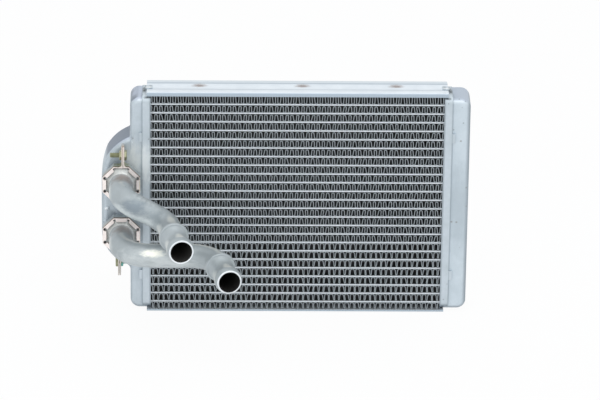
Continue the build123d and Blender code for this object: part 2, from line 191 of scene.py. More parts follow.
@dataclass(frozen=True)
class Stain:
    """A ragged, soft-edged spot of another colour at a place on the object."""

    place: Point
    radii: Point
    colour: str
    strength: float

    def over(self, tree: Tree, place: Socket, colour: Socket) -> Socket:
        """Lay the stain over a colour.

        Args:
            tree: The material's node tree.
            place: The object coordinates.
            colour: The colour below.

        Returns:
            The stained colour.
        """
        middle, size = (tuple(c * MM for c in sizes) for sizes in (self.place, self.radii))
        local = add_node(
            tree, "Mapping", {"Vector": place, "Location": middle, "Scale": size}, vector_type="TEXTURE"
        ).outputs["Vector"]
        distance = add_node(tree, "VectorMath", {0: local}, operation="LENGTH").outputs["Value"]
        ragged = add_node(
            tree, "TexNoise", {"Vector": local, "Scale": 2.6, "Detail": 4.0, "Roughness": 0.7}
        ).outputs["Fac"]
        edge = add_node(tree, "Math", {0: ragged, 1: STAIN_RAG, 2: distance}, operation="MULTIPLY_ADD").outputs[0]
        return tinted(tree, colour, self.colour, self.strength, edge, *STAIN_EDGE)


@dataclass(frozen=True)
class Facing:
    """Another tone on the faces that look one way, as light or dust leaves them."""

    way: Point
    colour: str
    strength: float = 1.0
    start: float = 0.45
    full: float = 0.85

    def over(self, tree: Tree, normal: Socket, colour: Socket) -> Socket:
        """Tone the faces whose own normal looks this way, over the colour below."""
        turned = add_node(tree, "VectorMath", {0: normal, 1: self.way}, operation="DOT_PRODUCT").outputs["Value"]
        return tinted(tree, colour, self.colour, self.strength, turned, self.start, self.full)


@dataclass(frozen=True)
class Seam:
    """A narrow straight mark across one axis, soft at its sides."""

    axis: int
    at: float
    half: float
    colour: str
    strength: float
    core: float = 0.3

    def over(self, tree: Tree, place: Socket, colour: Socket) -> Socket:
        """Draw the mark over a colour.

        Args:
            tree: The material's node tree.
            place: The object coordinates.
            colour: The colour below.

        Returns:
            The marked colour.
        """
        along = add_node(tree, "SeparateXYZ", {0: place}).outputs[self.axis]
        off = add_node(tree, "Math", {0: along, 1: self.at * MM}, operation="SUBTRACT").outputs[0]
        distance = add_node(tree, "Math", {0: off}, operation="ABSOLUTE").outputs[0]
        start, full = self.half * MM, self.half * self.core * MM
        return tinted(tree, colour, self.colour, self.strength, distance, start, full)


def spots(radii: Point, colour: str, strength: float, *places: Point) -> Tuple[Stain, ...]:
    """Make stains that differ in their place alone."""
    return tuple(Stain(place, radii, colour, strength) for place in places)


@dataclass(frozen=True)
class Metal:
    """A bare or plated metal with cloudy tone, fine grain and marks.

    Attributes:
        name: The finish in a maker's words.
        tone: The common colour.
        cloud: The colour of the cloudy patches.
        cloud_mm: The width of a patch.
        grain_mm: The width of the surface's grain, drawn coarser than the real one, so that it shows.
        grain: How strong the grain's bump is.
        roughness: The roughness at the middle of its range.
        stretch: How much longer the grain is along each axis.
        metallic: How metallic the surface looks under its oxide and flux.
        speck: The colour of the small specks.
        speck_mm: The distance between specks.
        speck_share: How much of the surface the specks take.
        facings: Tones that follow the way a face looks.
        seams: Narrow straight marks.
        stains: Spots at known places.
    """

    name: str
    tone: str
    cloud: str
    cloud_mm: float
    grain_mm: float
    grain: float
    roughness: float
    stretch: Point = (1.0, 1.0, 1.0)
    metallic: float = 0.7
    speck: str = "#7d858b"
    speck_mm: float = 9.0
    speck_share: float = 0.0
    facings: Tuple[Facing, ...] = ()
    seams: Tuple[Seam, ...] = ()
    stains: Tuple[Stain, ...] = ()

    def make(self) -> Material:
        """Build the material.

        Returns:
            The material with its nodes.
        """
        material = bpy.data.materials.new(self.name)
        tree = empty_tree(material)
        coordinates = add_node(tree, "TexCoord").outputs
        place = coordinates["Object"]
        clouds = add_node(
            tree,
            "TexNoise",
            {"Vector": place, "Scale": 1 / (self.cloud_mm * MM), "Detail": 4.0, "Roughness": 0.6},
        ).outputs["Fac"]
        start, full = CLOUD_RANGE
        patches = add_node(
            tree, "MapRange", {"Value": clouds, "From Min": start, "From Max": full}
        ).outputs["Result"]
        tones = {0: patches, 6: linear(self.tone), 7: linear(self.cloud)}
        colour = add_node(tree, "Mix", tones, data_type="RGBA").outputs[2]
        for seam in self.seams:
            colour = seam.over(tree, place, colour)
        for facing in self.facings:
            colour = facing.over(tree, coordinates["Normal"], colour)
        if self.speck_share > 0:
            colour = self._specks(tree, place, colour)
        for stain in self.stains:
            colour = stain.over(tree, place, colour)
        stretched = {"Vector": place, "Scale": tuple(1 / s for s in self.stretch)}
        drawn = add_node(tree, "Mapping", stretched).outputs["Vector"]
        grain = add_node(
            tree,
            "TexNoise",
            {"Vector": drawn, "Scale": 1 / (self.grain_mm * MM), "Detail": 3.0, "Roughness": 0.55},
        ).outputs["Fac"]
        start, full = GRAIN_RANGE
        low, high = self.roughness - ROUGH_SPREAD, self.roughness + ROUGH_SPREAD
        rough = add_node(
            tree,
            "MapRange",
            {"Value": grain, "From Min": start, "From Max": full, "To Min": low, "To Max": high},
        ).outputs["Result"]
        grained(tree, colour, self.metallic, rough, grain, self.grain)
        return material

    def _specks(self, tree: Tree, place: Socket, colour: Socket) -> Socket:
        """Scatter small dark specks over the colour.

        Args:
            tree: The material's node tree.
            place: The object coordinates.
            colour: The colour below the specks.

        Returns:
            The colour with its specks.
        """
        spread = {"Vector": place, "Scale": 1 / (self.speck_mm * MM), "Randomness": 1.0}
        cells = add_node(tree, "TexVoronoi", spread).outputs["Distance"]
        start, full = self.speck_share, self.speck_share * SPECK_CORE
        share = add_node(
            tree, "MapRange", {"Value": cells, "From Min": start, "From Max": full, "To Max": SPECK_STRENGTH}
        ).outputs["Result"]
        return add_node(tree, "Mix", {0: share, 6: colour, 7: linear(self.speck)}, data_type="RGBA").outputs[2]


@dataclass(frozen=True)
class Rubber:
    """Moulded black rubber, dull and faintly grained."""

    name: str = "moulded_rubber"
    tone: str = "#1c1c1d"
    grain_mm: float = 0.4
    grain: float = 0.2
    roughness: float = 0.65

    def make(self) -> Material:
        """Build the material.

        Returns:
            The material with its nodes.
        """
        material = bpy.data.materials.new(self.name)
        tree = empty_tree(material)
        place = add_node(tree, "TexCoord").outputs["Object"]
        scaled = {"Vector": place, "Scale": 1 / (self.grain_mm * MM), "Detail": 2.0}
        grain = add_node(tree, "TexNoise", scaled).outputs["Fac"]
        grained(tree, linear(self.tone), 0.0, self.roughness, grain, self.grain)
        return material


class Finishes:
    """The finishes of the object, each made once."""

    def __init__(self) -> None:
        """Make every material."""
        self._core()
        self._tanks()
        self._pipe()
        self._clamp()
        self.rubber = Rubber().make()

    def _core(self) -> None:
        """Make the finishes of the fins, the tubes, the plates and the headers."""
        # Fin stock rolled to foil and brazed, with painted shade over all but its front and back edges, as the gaps
        # between the legs lie in shade.
        self.fin = Metal(
            "brazed_fin_foil", "#a0a8ad", "#939b9f",
            cloud_mm=14, grain_mm=0.5, grain=0.2, roughness=0.5, metallic=0.6,
            seams=(Seam(ACROSS_Y, 0, 12.3, "#33383b", 0.95, 0.94),),
        ).make()
        # Extruded tube: smoother than the foil, with painted shade behind its noses where the fins shade it, so each
        # nose shows as a bright line.
        self.tube = Metal(
            "extruded_tube", "#d3d9de", "#c9d0d5",
            cloud_mm=23, grain_mm=0.4, grain=0.06, roughness=0.45, metallic=0.5, stretch=(6, 1, 1),
            seams=(Seam(ACROSS_Y, 0, 11.9, "#34393c", 0.95, 0.96),),
        ).make()
        # Folded clad sheet: bright, rolled along its length, with marks where the brazing straps lay, painted shade
        # along its rear land and its channel's bends, and painted shade on its faces that look forward and back.
        self.plate = Metal(
            "rolled_clad_sheet", "#e6edf3", "#dce4eb",
            cloud_mm=17, grain_mm=0.5, grain=0.12, roughness=0.42, metallic=0.5, stretch=(9, 1, 1),
            seams=(
                # Painted shade along the rear land and the channel's bends.
                Seam(ACROSS_Y, 12, 3.6, "#cdd6dc", 0.8, 0.6),
                Seam(ACROSS_Y, 7.6, 1.7, "#aebac4", 0.85, 0.3),
                Seam(ACROSS_Y, -4.1, 1.7, "#b2bec8", 0.8, 0.3),
            ),
            # Painted shade on the faces that look forward and back.
            facings=(Facing((0, -1, 0), "#aebcc8"), Facing((0, 1, 0), "#b3bec8", 0.9, 0.2, 0.6)),
            stains=spots((8, 3.4, 4), "#857066", 0.75, *((x, 4, 178) for x in (-74.3, 3.7, 74.8))),
        ).make()
        # Pressed trays: the same sheet, duller after the oven, with painted shadows in the corners at the plates'
        # ends, painted highlights on the tongues over them, painted shade along their inner edges and on what looks
        # down, and painted light where the upper clamp's shadow falls on the left one.
        ends = [
            Stain((side * x, y, z), radii, "#1c262b", 0.9)
            for side in SIDES
            for x, y, z, radii in ((115.9, -1.4, 177.3, (2.4, 9, 3.4)), (113.4, -14, 174.4, (4.4, 3.4, 1.9)))
        ]
        self.header = Metal(
            "pressed_clad_sheet", "#c8d2da", "#bdc8cf",
            cloud_mm=9, grain_mm=0.5, grain=0.2, roughness=0.5, speck_share=0.08,
            # The joints with the tanks, and painted shade along the inner edges beside the fins.
            seams=self._joint() + tuple(Seam(ACROSS_X, side * 111.2, 1.3, "#8d98a0", 0.6) for side in SIDES),
            # Painted shade on what looks down.
            facings=(Facing((0, 0, -1), "#8d98a0", *UNDERSIDE_SHADE),),
            stains=(
                # Painted shadows in the corners at the plates' ends.
                *ends,
                # Painted highlights on the tongues over the plates' ends.
                *spots((7, 9, 1.8), "#f1f5f7", 0.95, *((side * 112.5, -6, 179) for side in SIDES)),
                # Painted light where the upper clamp's shadow falls on the left header.
                Stain((-115.5, -14, 120), (8, 6, 24), "#eef4f6", 0.9),
            ),
        ).make()

    def _tanks(self) -> None:
        """Make the finishes of both tanks."""
        # Pressed tanks: matt, pale blue grey, darker on top, with painted shade along their rounded outer edges and
        # on what looks down and a painted highlight along the front rounding at the top, the right one with small
        # brown pits on its front.
        pits = ((118.5, 74.2), (122.3, 73.9), (115.8, 86.8), (129.8, 86.8), (129.3, 102), (124, 140))
        self.right_tank = self._tank(
            ("brazed_tank_sheet", "#cdd8e0", "#c2ced6"),
            "#b8c2ce",
            # Painted shade along the rounded outer edge.
            Seam(ACROSS_X, 131.6, 4.2, "#8a959d", 0.95, 0.15),
            (
                Stain((122, -12.5, 86), (20, 6, 52), "#a9b5bd", 0.55),
                *spots((1.3, 2, 1.1), "#7e7772", 0.6, *((x, -12.5, z) for x, z in pits)),
            ),
        )
        self.left_tank = self._tank(
            ("brazed_bulged_tank_sheet", "#c9d3db", "#bcc7ce"),
            "#c1cad8",
            # Painted shade along the bulge's rounded outer edge.
            Seam(ACROSS_X, -148.2, 3, "#a0abb2", 0.6, 0.1),
            (
                # Painted shade around the upper clamp, and painted light that lifts its shadow off the face below.
                Stain((-138, -12.5, 128), (16, 5, 20), "#a2adb3", 0.5),
                Stain((-124, -12.5, 114), (10, 4, 32), "#e6ebea", 0.9),
                # Painted shade around the lower clamp.
                Stain((-130, -12.5, 68), (20, 4, 18), "#9aa4a8", 0.4),
                # Painted shade along the rounded edge above and below the bulge.
                Stain((-126.6, -12, 162), (2.2, 7, 36), "#8b97a1", 0.85),
                Stain((-126.6, -12, 16), (2.2, 7, 30), "#97a3ad", 0.7),
                # Painted shade on the top's rounded corner.
                Stain((-123.5, 2, 176.5), (8, 17, 9), "#b3bcca", 1),
                # The boss: a painted highlight, and a painted shadow beside it.
                Stain((-145.6, -13.4, 84), (2.6, 2, 2.4), "#f6fafc", 0.9),
                Stain((-142.9, -12.6, 84.2), (1, 1.5, 1.8), "#4c5454", 0.9),
            ),
            # Painted shade on the bulge's shoulder, which looks up and to the left.
            Facing((-0.62, 0, 0.78), "#87909c", 1, 0.79, 0.93),
        )

    def _pipe(self) -> None:
        """Make the pipes' finishes."""
        # The upper run's painted highlights, below its middle and along its top, there every 3.5 mm along X.
        lower_highlight_band = (
            (-134, -60, 103.6), (-130, -61, 101.6), (-126, -62, 99.6),
            (-122, -63, 97.8), (-117.5, -64.5, 96.2), (-113, -66, 94.6),
        )
        top_highlight_band = enumerate((118.6, 117.4, 116, 114.4, 112.6, 110.8, 109, 107.4))
        # Drawn tube: satin, with brown flux marks inside the clamps, painted highlights on its top and sides and
        # along the lower run, and painted shade along the upper run's middle.
        self.pipe = Metal(
            "drawn_tube", "#b0b8bc", "#a5adb0",
            cloud_mm=13, grain_mm=0.4, grain=0.12, roughness=0.5, metallic=0.45, speck_share=0.06,
            facings=(
                # Painted highlights on the tops and both sides.
                Facing((0, 0.3, 0.95), "#e6e8e3", 0.85, 0.9, 1),
                Facing((-0.98, 0.15, 0.1), "#dfe3e1", 0.85, 0.8, 1),
                Facing((0.9, 0.3, 0.3), "#d9dddb", 0.7, 0.85, 1),
            ),
            stains=(
                # Painted shade along the upper run's middle.
                Stain((-124, -68, 106), (18, 14, 9), "#87929a", 1),
                Stain((-108, -72, 100.5), (12, 14, 8), "#8f999e", 0.9),
                # Painted highlights along the upper run.
                *spots((8, 10, 4.8), "#ccd4d5", 0.8, *lower_highlight_band),
                *spots((5.4, 9, 2), "#cfd7da", 0.7, *((3.5 * step - 130, -62, z) for step, z in top_highlight_band)),
                # Painted light over the lower run.
                Stain((-100, -66, 66), (46, 16, 13), "#d3d9da", 1),
                Stain((-131.5, -33, 117), (13, 12, 10), "#8b7f78", 0.75),
                Stain((-131.5, -33, 75), (13, 12, 10), "#8b7f78", 0.6),
                # Pale flange rings inside the clamps, with painted light added against the shade in the clamps'
                # gaps.
                *spots((24, 3, 24), "#eef1ee", 0.95, *((PORT_X, -24.5, port) for port in PORT_HEIGHTS)),
                # Painted highlight along the lower run.
                Stain((-109, -73, 71.6), (13, 7, 3.8), "#fffff4", 1),
                Stain((-130.4, -52, 55.5), (3.6, 14, 2.6), "#5fb0ab", 0.9),
                Stain((-53.5, -100, 66.9), (12, 16, 12), "#9ba4a4", 0.7),
            ),
        ).make()
        # Inside of the drawn tube: dark with painted shade. The sawn rim is bare.
        self.bore = Metal("bore_painted_shade", "#211f1d", "#171615", 9, 0.5, 0.2, 0.8, metallic=0.05).make()
        self.rim = Metal("sawn_rim", "#f1f5f8", "#e4eaee", 3, 0.4, 0.1, 0.45, metallic=0.3).make()

    def _clamp(self) -> None:
        """Make the finishes of the clamps and their screws."""
        # Painted shade in the clamps' notches.
        corners = product(PORT_HEIGHTS, SIDES, SIDES)
        notches = ((PORT_X + side * 12.5, -25.6, port + half * 5.2) for port, side, half in corners)
        # Yellow passivated zinc on spring steel: grey at its sides, olive at the ears, pink in front.
        self.clamp = Metal(
            "yellow_passivated_zinc", "#a7afb2", "#9ba3a3",
            cloud_mm=5, grain_mm=0.5, grain=0.15, roughness=0.38, metallic=0.6,
            seams=(Seam(ACROSS_Y, -25.2, 1.7, "#78604c", 0.95, 0.6),),
            facings=(Facing((0, -1, 0), "#fff5f1", 1, 0.86, 0.97),),
            stains=(
                *spots((10, 9, 9), "#86884f", 0.9, (PORT_X, -19.5, 126), (PORT_X, -19.5, 49)),
                Stain((-117.5, -26.5, 108), (3, 3, 9), "#d8cb9f", 0.8),
                Stain((-149, -26.5, 108), (3, 3, 9), "#d6c4bb", 0.8),
                *spots((3, 3, 9), "#d2c2ba", 0.8, (-149, -26.5, 67), (-117.5, -26.5, 67)),
                Stain((-132.8, -25, 136), (4, 9, 14), "#d9c6b6", 0.7),
                Stain((-134.6, -25, 40), (5, 9, 12), "#b5b0a8", 0.9),
                *spots((1.9, 3, 2.2), "#16150f", 1, *notches),
            ),
        ).make()
        # The same zinc on the screws and nuts, more olive, with a dab of teal paint on the lower screw.
        self.screw = Metal(
            "yellow_passivated_screw", "#a6a88c", "#8f9173",
            cloud_mm=3, grain_mm=0.4, grain=0.2, roughness=0.36, metallic=0.6,
            stains=(Stain((-131.2, -24, 42.4), (4.4, 6, 5), "#62b4ae", 0.95),),
        ).make()

    @staticmethod
    def _joint() -> Tuple[Seam, ...]:
        """The line where each tank meets its header."""
        return tuple(Seam(ACROSS_X, side * 117.35, 0.75, "#93a0a8", 0.45) for side in SIDES)

    def _tank(
        self, names: Tuple[str, str, str], up: str, edge: Seam, stains: Tuple[Stain, ...], *more: Facing
    ) -> Material:
        """A tank's finish, with a painted highlight along the rounding at its top.

        Args:
            names: The finish's name, its common tone and its patches' tone.
            up: The tone of what looks up, darker than the front.
            edge: The painted shade along its rounded outer edge.
            stains: The spots on it.
            *more: Further tones that follow the way a face looks.

        Returns:
            The material.
        """
        facings = (
            Facing((0, 0, 1), up, 1, 0.35, 0.75),
            # Painted shade on what looks down.
            Facing((0, 0, -1), "#a4aeb6", *UNDERSIDE_SHADE),
            *more,
            # Painted highlight along the front rounding at the top.
            Facing((0, -0.82, 0.57), "#e0e9ef", 0.5, 0.97, 0.995),
        )
        return Metal(
            *names,
            cloud_mm=12, grain_mm=0.6, grain=0.2, roughness=0.52, metallic=0.6, speck_share=0.09,
            facings=facings, seams=self._joint() + (edge,), stains=stains,
        ).make()


def new_mesh_object(
    name: str, shape: Shape, material: Material, angle: float = SHARP_DEG, others: Sequence[Material] = ()
) -> bpy.types.Object:
    """Turn a finished bmesh to an object that lies at the origin.

    Args:
        name: The piece's name.
        shape: The bmesh, in millimetres. It is freed.
        material: The piece's finish.
        angle: Edges sharper than this, in degrees, stay sharp.
        others: The finishes of the faces that carry a higher index.

    Returns:
        The new object.
    """
    bmesh.ops.scale(shape, vec=(MM, MM, MM), verts=shape.verts)
    mesh = bpy.data.meshes.new(name)
    for finish in (material, *others):
        mesh.materials.append(finish)
    shape.to_mesh(mesh)
    shape.free()
    mesh.shade_smooth()
    mesh.set_sharp_from_angle(angle=math.radians(angle))
    piece = bpy.data.objects.new(name, mesh)
    bpy.context.scene.collection.objects.link(piece)
    return piece


def seat(piece: bpy.types.Object, slot: str, *nodes: str) -> None:
    """Fix a piece to the core and let it stand for its nodes.

    Args:
        piece: The piece.
        slot: The record's material slot; not used.
        nodes: The CAD nodes that it replaces.
    """
    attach(piece, "root")
    if nodes:
        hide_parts(*nodes)
    log.info("%s: %d faces", piece.name, len(piece.data.polygons))


def dress(node: str, material: Material) -> None:
    """Give a CAD node its finish.

    Args:
        node: The node's name.
        material: The finish.
    """
    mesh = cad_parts[node].data
    mesh.materials.clear()
    mesh.materials.append(material)
    log.info("%s: dressed", node)


def loose_copy(node: str) -> Shape:
    """Copy a CAD node's mesh with its triangles joined up.

    Args:
        node: The node's name.

    Returns:
        The copy, in millimetres.
    """
    shape = bmesh.new()
    shape.from_mesh(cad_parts[node].data)
    bmesh.ops.scale(shape, vec=(1 / MM,) * 3, verts=shape.verts)
    bmesh.ops.remove_doubles(shape, verts=shape.verts, dist=WELD)
    return shape


def softened(
    node: str, name: str, width: float, material: Material, slot: str, segments: int = 2,
    lip: Optional[Pair] = None,
) -> bpy.types.Object:
    """A copy of a CAD node with its sharp edges rounded.

    Args:
        node: The node's name.
        name: The piece's name.
        width: The width of the rounding, in millimetres.
        material: The finish.
        slot: The record's material slot.
        segments: Faces across each rounding.
        lip: The height of the front lip's free edge, and how far it is drawn down.

    Returns:
        The piece that stands for the node.
    """
    shape = loose_copy(node)
    if lip:
        height, drop = lip
        free = [v for v in shape.verts if v.co.y < LIP_FRONT and abs(v.co.z - height) < LIP_BAND]
        bmesh.ops.translate(shape, vec=(0, 0, -drop), verts=free)
    bmesh.ops.dissolve_limit(shape, angle_limit=math.radians(FLAT_DEG), verts=shape.verts, edges=shape.edges)
    piece = new_mesh_object(name, shape, material)
    bevel = piece.modifiers.new("worn_edges", "BEVEL")
    bevel.width = width * MM
    bevel.segments = segments
    bevel.limit_method = "ANGLE"
    bevel.angle_limit = math.radians(SHARP_DEG)
    bevel.harden_normals = True
    seat(piece, slot, node)
    return piece


@dataclass
class FinPack:
    """The folded strips between the tubes, finer than their nodes and a little uneven."""

    width: float = 222.0
    depth: float = 25.4
    rows: int = 25
    legs: int = 112
    foil: float = 0.52
    # How far the lowest strip reaches below its node, to the lowered lip.
    foot: float = 1.0
    # The crowns sway in turns of a few legs, and drift and lean by chance. Each pair holds the share
    # of the last value that stays and the spread of what comes to it.
    sway: float = 0.24
    sway_legs: float = 5.0
    sway_slip: float = 0.16
    drift: Pair = (0.8, 0.04)
    lean: Pair = (0.3, 0.05)
    most: float = 1.15
    # The share of a leg in each rounded end, and the cells along a leg.
    turn: float = 0.22
    cells: int = 7
    seed: int = 7

    def build(self, material: Material) -> None:
        """Fold every strip.

        Args:
            material: The fin stock.
        """
        chance = random.Random(self.seed)
        for row in range(self.rows):
            shape = self._strip(row, chance)
            piece = new_mesh_object(f"fin_strip_{row + 1:02d}", shape, material, 60.0)
            seat(piece, "fin_aluminium", f"fin_{row + 1:02d}")

    def _folds(self, chance: random.Random) -> List[float]:
        """Places of the crowns along one strip, uneven as a folding wheel leaves them.

        Args:
            chance: The seeded source of the unevenness.

        Returns:
            The distance of each crown from the strip's start.
        """
        step = self.width / self.legs
        drift = lean = 0.0
        phase = chance.uniform(0.0, math.tau)
        folds = []
        for index in range(self.legs + 1):
            phase += math.tau / self.sway_legs + chance.gauss(0.0, self.sway_slip)
            drift = self.drift[0] * drift + chance.gauss(0.0, self.drift[1])
            lean = self.lean[0] * lean + chance.gauss(0.0, self.lean[1])
            side = 1 if index % 2 else -1
            shift = lean + side * (drift + self.sway * math.sin(phase))
            # The strip's ends are held in place.
            hold = min(1.0, min(index, self.legs - index) / 2)
            folds.append(index * step + hold * max(-self.most, min(self.most, shift)))
        return folds

    def _strip(self, row: int, chance: random.Random) -> Shape:
        """Fold one strip from a flat grid.

        Args:
            row: The row, counted from the bottom.
            chance: The seeded source of the unevenness.

        Returns:
            The strip as a bmesh in millimetres.
        """
        folds = self._folds(chance)
        cells = self.legs * self.cells
        shape = bmesh.new()
        bmesh.ops.create_grid(shape, x_segments=cells, y_segments=1, size=0.5)
        bottom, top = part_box(f"fin_{row + 1:02d}")
        low = bottom[2] / MM + self.foil - (self.foot if row == 0 else 0.0)
        high = top[2] / MM
        for vert in shape.verts:
            index = round((vert.co.x + 0.5) * cells)
            leg = min(index // self.cells, self.legs - 1)
            x, z = self._leg_point(folds, leg, index / self.cells - leg, low, high)
            vert.co = (x - self.width / 2, vert.co.y * self.depth, z)
        bmesh.ops.recalc_face_normals(shape, faces=shape.faces)
        bmesh.ops.solidify(shape, geom=shape.faces[:], thickness=self.foil)
        bmesh.ops.recalc_face_normals(shape, faces=shape.faces)
        return shape

    def _leg_point(self, folds: Sequence[float], leg: int, share: float, low: float, high: float) -> Pair:
        """A point of the strip's section on one leg, from crown to crown.

        Args:
            folds: The strip's crowns.
            leg: The leg's number.
            share: How far along the leg the point is.
            low: The height of the lower crowns.
            high: The height of the upper crowns.

        Returns:
            The point's place along the strip and its height.
        """
        start, end, turn = folds[leg], folds[leg + 1], self.turn
        # The foil's thickness lies inside the upper crowns, so they are wider and the legs stand evenly.
        half, extra = self.width / self.legs / 2, (-0.5 if leg % 2 else 0.5) * self.foil
        near, far = half + extra, half - extra
        if share < turn:
            angle = math.pi / 2 * share / turn
            along = start + near * math.sin(angle)
            rise = near * (1 - math.cos(angle))
        elif share > 1 - turn:
            angle = math.pi / 2 * (1 - share) / turn
            along = end - far * math.sin(angle)
            rise = (high - low) - far * (1 - math.cos(angle))
        else:
            middle = (share - turn) / (1 - 2 * turn)
            along = start + near + (end - start - near - far) * middle
            rise = near + (high - low - near - far) * middle
        return along, low + rise if leg % 2 else high - rise


@dataclass
class TankPair:
    """Both tanks, full at their ends, the left one with its bulge's shoulder drawn up to the back."""

    # How much of each end is drawn out, the top's rise in front and at the back, and the bottom's drop.
    cap: float = 7.0
    rises: Pair = (-1.4, 1.5)
    drop: float = 2.2
    # The shoulder lies beyond the wall. Its rise starts at one height, is full at the next and ends above both.
    wall: float = -125.4
    start: float = 112.0
    full: float = 124.0
    end: float = 160.0
    lift: float = 4.6
    front_share: float = 0.55
    half_depth: float = 14.0

    def build(self, left: Material, right: Material) -> None:
        """Make both tanks.

        Args:
            left: The bulged tank's finish.
            right: The plain tank's finish.
        """
        for side, material in (("left", left), ("right", right)):
            shape = loose_copy(f"{side}_tank")
            self._fill_ends(shape, f"{side}_tank")
            if side == "left":
                self._fill_shoulder(shape)
            piece = new_mesh_object(f"{side}_tank_shell", shape, material, 40.0)
            flat = piece.modifiers.new("flat_faces", "WEIGHTED_NORMAL")
            flat.keep_sharp = True
            flat.weight = 100
            seat(piece, "tank_aluminium", f"{side}_tank")

    def _fill_ends(self, shape: Shape, node: str) -> None:
        """Draw the outside of both ends out, as the pressing leaves them.

        Args:
            shape: The tank.
            node: The node that it is a copy of.
        """
        shape.normal_update()
        bottom, top = (Vector(corner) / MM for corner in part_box(node))
        middle = (bottom + top) / 2
        for vert in shape.verts:
            if vert.normal.dot(vert.co - middle) <= 0.0:
                continue
            if vert.co.z > top.z - self.cap:
                front, back = self.rises
                vert.co.z += front + (back - front) * self._depth_share(vert.co.y)
            elif vert.co.z < bottom.z + self.cap:
                vert.co.z -= self.drop

    def _depth_share(self, y: float) -> float:
        """How far a place along the depth lies from the core's front, 0, to its back, 1."""
        return min(1.0, max(0.0, (y + self.half_depth) / (2 * self.half_depth)))

    def _fill_shoulder(self, shape: Shape) -> None:
        """Draw the bulge's upper shoulder up, most at the back.

        Args:
            shape: The left tank.
        """
        for vert in shape.verts:
            x, y, z = vert.co
            if x < self.wall and self.start < z < self.end:
                share = self.front_share + (1 - self.front_share) * self._depth_share(y)
                vert.co.z += self.lift * share * min(1.0, (z - self.start) / (self.full - self.start))


@dataclass
class TubeBank:
    """The flat tubes, with rounded noses that stand between the fins."""

    reach: float = 113.5
    depth: float = 24.8
    height: float = 1.5
    # The radius of a nose, as a share of the height.
    nose: float = 0.47
    pitch: float = 7.0
    count: int = 12

    def build(self, material: Material) -> None:
        """Make the tubes of both passes.

        Args:
            material: The extruded tube's finish.
        """
        for name in ("lower", "upper"):
            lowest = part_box(f"{name}_pass_tubes")[0][2] / MM + self.height / 2
            shape = bmesh.new()
            for index in range(self.count):
                self._tube(shape, lowest + index * self.pitch)
            piece = new_mesh_object(f"{name}_tubes", shape, material, 50.0)
            seat(piece, "tube_aluminium", f"{name}_pass_tubes")

    def _tube(self, shape: Shape, height: float) -> None:
        """Add one tube: a bar with full round noses.

        Args:
            shape: The bmesh that takes the tube.
            height: The height of the tube's middle.
        """
        place = Matrix.Translation((0, 0, height)) @ Matrix.Diagonal((2 * self.reach, self.depth, self.height, 1))
        made = bmesh.ops.create_cube(shape, size=1.0, matrix=place)["verts"]
        edges = {edge for vert in made for edge in vert.link_edges}
        long = [edge for edge in edges if abs(edge.verts[0].co.x - edge.verts[1].co.x) > self.reach]
        round_off = {"offset_type": "OFFSET", "segments": 4, "profile": 0.5, "affect": "EDGES", "material": -1}
        bmesh.ops.bevel(shape, geom=long, offset=self.height * self.nose, **round_off)


@dataclass
class HosePipes:
    """The two bent pipes, with the upper one's run a little flattened by its bending."""

    # Each pipe's name, the middle of its bead, and its stub's turn from -Y in degrees.
    beads: Tuple[Tuple[str, Point, float], ...] = (
        ("upper", (-92.7, -93.7, 93.5), 11.1),
        ("lower", (-58.0, -87.1, 66.9), 12.9),
    )
    # The upper pipe's run, and where along X it is taller.
    run_start: Point = (-133.0, -59.0, 108.5)
    run_length: float = 34.0
    run_half: float = 10.0
    fall: float = -0.448
    flat_at: float = -119.0
    flat_length: float = 9.0
    swell: float = 0.1
    # The stub beyond its bead, the depth of the cut rim's finish, and a radius outside both.
    stub_length: float = 30.6
    rim_depth: float = 0.5
    reach: float = 12.0

    def build(self, material: Material, bore: Material, rim: Material) -> None:
        """Make both pipes.

        Args:
            material: The drawn tube's finish.
            bore: The finish inside them.
            rim: The finish of the cut rims.
        """
        for name, bead, turn in self.beads:
            shape = loose_copy(f"{name}_pipe")
            if name == "upper":
                self._flatten(shape)
            way = Vector((math.sin(math.radians(turn)), -math.cos(math.radians(turn)), 0.0))
            self._mark(shape, Vector(bead), way)
            piece = new_mesh_object(f"{name}_hose_pipe", shape, material, 40.0, (bore, rim))
            seat(piece, "pipe_aluminium", f"{name}_pipe")

    def _mark(self, shape: Shape, bead: Vector, way: Vector) -> None:
        """Give the inner wall and the cut rim their own finishes.

        Args:
            shape: The pipe.
            bead: The middle of its bead.
            way: The way its stub points.
        """
        shape.normal_update()
        waiting = []
        for face in shape.faces:
            arm = face.calc_center_median() - bead
            along = arm.dot(way)
            across = arm - along * way
            inward = across.normalized().dot(face.normal) < -0.5
            if inward and along > 0.0 and across.length < self.reach:
                waiting.append(face)
            elif along > self.stub_length - self.rim_depth:
                face.material_index = 2
        found = set(waiting)
        while waiting:
            for edge in waiting.pop().edges:
                if edge.calc_face_angle(0.0) < math.radians(SHARP_DEG):
                    fresh = [face for face in edge.link_faces if face not in found]
                    found.update(fresh)
                    waiting.extend(fresh)
        for face in found:
            face.material_index = 1
        log.info("bore: %d faces", len(found))

    def _flatten(self, shape: Shape) -> None:
        """Raise the top of the run where the bend has made it oval.

        Args:
            shape: The pipe.
        """
        for vert in shape.verts:
            along = vert.co.x - self.run_start[0]
            if 0.0 < along < self.run_length and abs(vert.co.y - self.run_start[1]) < self.run_half:
                rise = vert.co.z - (self.run_start[2] + self.fall * along)
                share = math.exp(-(((vert.co.x - self.flat_at) / self.flat_length) ** 2))
                vert.co.z += self.swell * share * max(0.0, rise)


class Thread(Enum):
    """Which way a clamp's screw points along X."""

    OUTWARD = -1
    INWARD = 1


